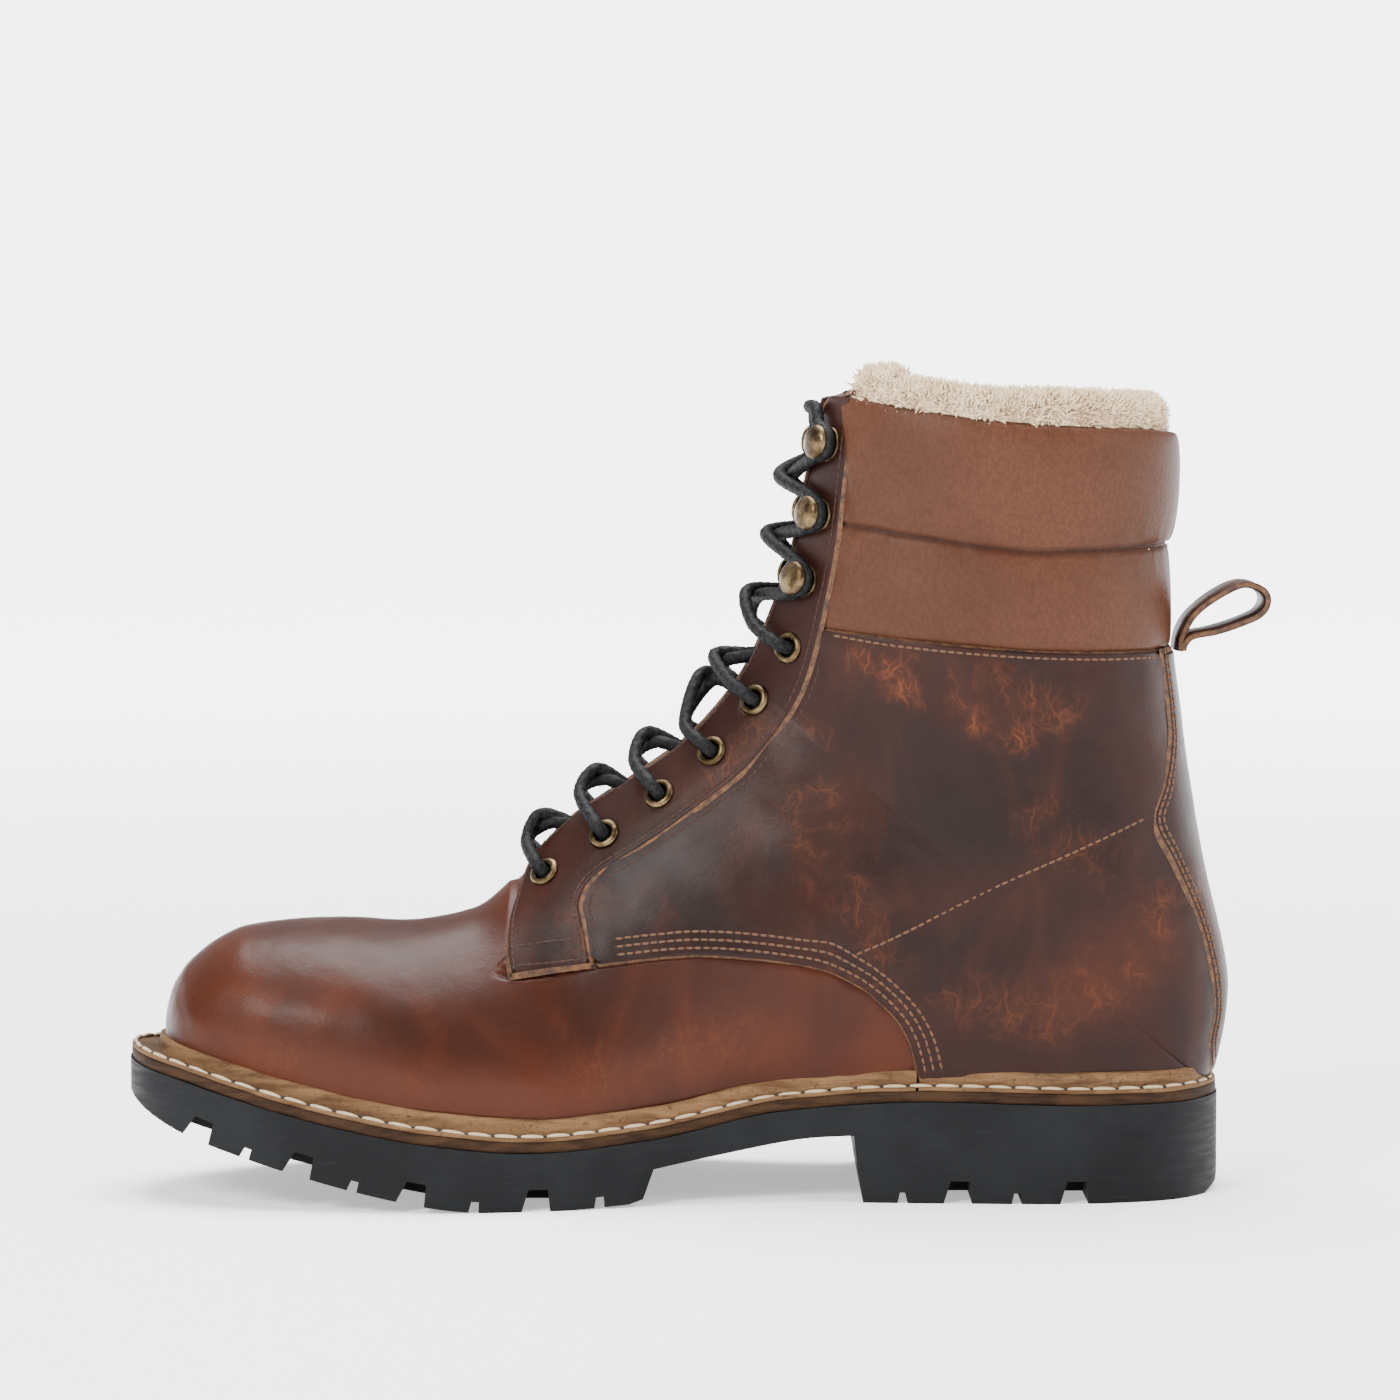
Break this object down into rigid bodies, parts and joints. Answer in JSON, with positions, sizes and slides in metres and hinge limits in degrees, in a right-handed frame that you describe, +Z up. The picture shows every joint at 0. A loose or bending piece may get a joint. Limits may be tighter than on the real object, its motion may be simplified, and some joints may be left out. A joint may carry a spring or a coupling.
{
  "type": "insulated lace-up boot",
  "caption": "Right lace-up winter boot: leather upper with padded collar, shearling lining, speed hooks, stitched storm welt and a one-piece rubber lug sole.",
  "frame": {"origin": "on the floor, below the middle of the whole boot's length and width", "axes": "+X towards the heel, +Y towards the outer side of a right foot, +Z up"},
  "size_m": [0.3263, 0.1102, 0.231],
  "materials": {
    "rubber": "satin lug rubber",
    "stained_midsole": "stained edge",
    "welt_leather": "natural edge, waxed",
    "thread": "waxed lockstitch thread",
    "cork": "pressed cork",
    "shank_steel": "plain strip steel",
    "board": "pressed fibre board",
    "vamp_leather": "oiled pull-up leather",
    "quarter_leather": "oiled pull-up leather, burnished",
    "collar_leather": "soft garment leather",
    "foam": "open-cell foam",
    "shearling": "dense curled pile",
    "brass": "antiqued brass",
    "lace_cord": "waxed round braid"
  },
  "bodies": {
    "boot": {"outsole": "rubber", "midsole": "stained_midsole", "storm_welt": "welt_leather", "heel_rand": "welt_leather", "welt_thread": "thread", "cork_filler": "cork", "shank": "shank_steel", "insole_board": "board", "footbed": "shearling", "vamp": "vamp_leather", "eyestay_inner": "quarter_leather", "eyestay_outer": "quarter_leather", "quarter_inner": "quarter_leather", "quarter_outer": "quarter_leather", "backstay": "quarter_leather", "toe_puff": "board", "heel_counter": "board", "collar": "collar_leather", "collar_foam_lower": "foam", "collar_foam_upper": "foam", "lining_forefoot": "shearling", "lining_shaft": "shearling", "eyelet_inner_1": "brass", "eyelet_inner_2": "brass", "eyelet_inner_3": "brass", "eyelet_inner_4": "brass", "eyelet_inner_5": "brass", "eyelet_inner_6": "brass", "eyelet_outer_1": "brass", "eyelet_outer_2": "brass", "eyelet_outer_3": "brass", "eyelet_outer_4": "brass", "eyelet_outer_5": "brass", "eyelet_outer_6": "brass", "hook_inner_1": "brass", "hook_inner_2": "brass", "hook_inner_3": "brass", "hook_outer_1": "brass", "hook_outer_2": "brass", "hook_outer_3": "brass", "lace": "lace_cord"},
    "tongue_flap": {"tongue": "quarter_leather", "tongue_lining": "shearling"},
    "loop": {"pull_loop": "quarter_leather"}
  },
  "joints": [
    {"name": "tongue_lean", "type": "hinge", "parent": "boot", "child": "tongue_flap", "pos_m": [-0.048, 0, 0.0695], "axis": [0, 1, 0], "range_deg": [0, 8], "stiffness_Nm_per_rad": 3},
    {"name": "pull_loop_swing", "type": "hinge", "parent": "boot", "child": "loop", "pos_m": [0.137, 0, 0.1552], "axis": [0, 1, 0], "range_deg": [-20, 30], "stiffness_Nm_per_rad": 0.08}
  ]
}
